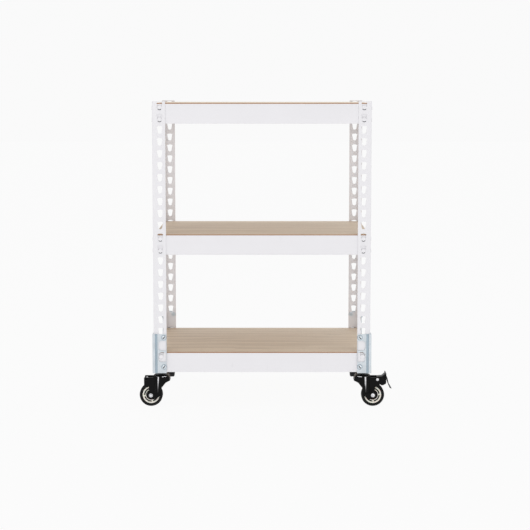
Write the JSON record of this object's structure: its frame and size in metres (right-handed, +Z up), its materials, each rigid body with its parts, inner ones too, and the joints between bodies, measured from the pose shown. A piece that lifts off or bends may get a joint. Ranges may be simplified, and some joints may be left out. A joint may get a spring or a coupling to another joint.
{
  "type": "boltless shelf trolley",
  "caption": "Rolling rack of slotted angle posts, riveted beams and wood-grain boards on swivel casters with foot brakes.",
  "frame": {"origin": "on the floor, under the middle of the whole footprint with its casters and pedals", "axes": "+X to the right and +Y to the rear as seen from the front, +Z up"},
  "size_m": [0.702, 0.4642, 0.8475],
  "materials": {
    "white_paint": "satin white powder coat",
    "oak_laminate": "light oak grain, satin, darker sawn edge",
    "zinc_plate": "bluish bright zinc plating",
    "black_enamel": "glossy black enamel on pressed steel",
    "bright_steel": "polished steel",
    "cream_nylon": "semi-gloss off-white nylon",
    "black_tyre": "matt black rubber"
  },
  "bodies": {
    "root": {"front_left_post": "white_paint", "front_left_bracket": "zinc_plate", "front_right_post": "white_paint", "front_right_bracket": "zinc_plate", "rear_right_post": "white_paint", "rear_right_bracket": "zinc_plate", "rear_left_post": "white_paint", "rear_left_bracket": "zinc_plate", "bottom_front_beam": "white_paint", "bottom_rear_beam": "white_paint", "bottom_right_beam": "white_paint", "bottom_left_beam": "white_paint", "bottom_board": "oak_laminate", "middle_front_beam": "white_paint", "middle_rear_beam": "white_paint", "middle_right_beam": "white_paint", "middle_left_beam": "white_paint", "middle_board": "oak_laminate", "top_front_beam": "white_paint", "top_rear_beam": "white_paint", "top_right_beam": "white_paint", "top_left_beam": "white_paint", "top_board": "oak_laminate", "front_left_stem": "zinc_plate", "front_left_stem_nut": "zinc_plate", "front_left_swivel_race": "zinc_plate", "front_right_stem": "zinc_plate", "front_right_stem_nut": "zinc_plate", "front_right_swivel_race": "zinc_plate", "rear_right_stem": "zinc_plate", "rear_right_stem_nut": "zinc_plate", "rear_right_swivel_race": "zinc_plate", "rear_left_stem": "zinc_plate", "rear_left_stem_nut": "zinc_plate", "rear_left_swivel_race": "zinc_plate"},
    "front_left_caster": {"front_left_fork": "black_enamel", "front_left_axle": "bright_steel", "front_left_axle_nut": "bright_steel"},
    "front_left_wheel": {"front_left_hub": "cream_nylon", "front_left_tyre": "black_tyre"},
    "front_right_caster": {"front_right_fork": "black_enamel", "front_right_axle": "bright_steel", "front_right_axle_nut": "bright_steel", "front_right_brake_pin": "bright_steel"},
    "front_right_wheel": {"front_right_hub": "cream_nylon", "front_right_tyre": "black_tyre"},
    "front_right_brake": {"front_right_brake_pedal": "black_enamel"},
    "rear_right_caster": {"rear_right_fork": "black_enamel", "rear_right_axle": "bright_steel", "rear_right_axle_nut": "bright_steel"},
    "rear_right_wheel": {"rear_right_hub": "cream_nylon", "rear_right_tyre": "black_tyre"},
    "rear_left_caster": {"rear_left_fork": "black_enamel", "rear_left_axle": "bright_steel", "rear_left_axle_nut": "bright_steel", "rear_left_brake_pin": "bright_steel"},
    "rear_left_wheel": {"rear_left_hub": "cream_nylon", "rear_left_tyre": "black_tyre"},
    "rear_left_brake": {"rear_left_brake_pedal": "black_enamel"}
  },
  "joints": [
    {"name": "front_left_swivel", "type": "hinge", "parent": "root", "child": "front_left_caster", "pos_m": [-0.29105, -0.21, 0.0915], "axis": [0, 0, 1], "continuous": true},
    {"name": "front_left_wheel_spin", "type": "hinge", "parent": "front_left_caster", "child": "front_left_wheel", "pos_m": [-0.31905, -0.21, 0.032], "axis": [0, -1, 0], "continuous": true},
    {"name": "front_right_swivel", "type": "hinge", "parent": "root", "child": "front_right_caster", "pos_m": [0.27095, -0.21, 0.0915], "axis": [0, 0, 1], "continuous": true},
    {"name": "front_right_wheel_spin", "type": "hinge", "parent": "front_right_caster", "child": "front_right_wheel", "pos_m": [0.29895, -0.21, 0.032], "axis": [0, 1, 0], "continuous": true},
    {"name": "front_right_brake_lever", "type": "hinge", "parent": "front_right_caster", "child": "front_right_brake", "pos_m": [0.31145, -0.21, 0.0763], "axis": [0, 1, 0], "range_deg": [0, 13]},
    {"name": "rear_right_swivel", "type": "hinge", "parent": "root", "child": "rear_right_caster", "pos_m": [0.27095, 0.152, 0.0915], "axis": [0, 0, 1], "continuous": true},
    {"name": "rear_right_wheel_spin", "type": "hinge", "parent": "rear_right_caster", "child": "rear_right_wheel", "pos_m": [0.27095, 0.18, 0.032], "axis": [-1, 0, 0], "continuous": true},
    {"name": "rear_left_swivel", "type": "hinge", "parent": "root", "child": "rear_left_caster", "pos_m": [-0.29105, 0.152, 0.0915], "axis": [0, 0, 1], "continuous": true},
    {"name": "rear_left_wheel_spin", "type": "hinge", "parent": "rear_left_caster", "child": "rear_left_wheel", "pos_m": [-0.29105, 0.18, 0.032], "axis": [-1, 0, 0], "continuous": true},
    {"name": "rear_left_brake_lever", "type": "hinge", "parent": "rear_left_caster", "child": "rear_left_brake", "pos_m": [-0.29105, 0.1925, 0.0763], "axis": [-1, 0, 0], "range_deg": [0, 13]}
  ]
}
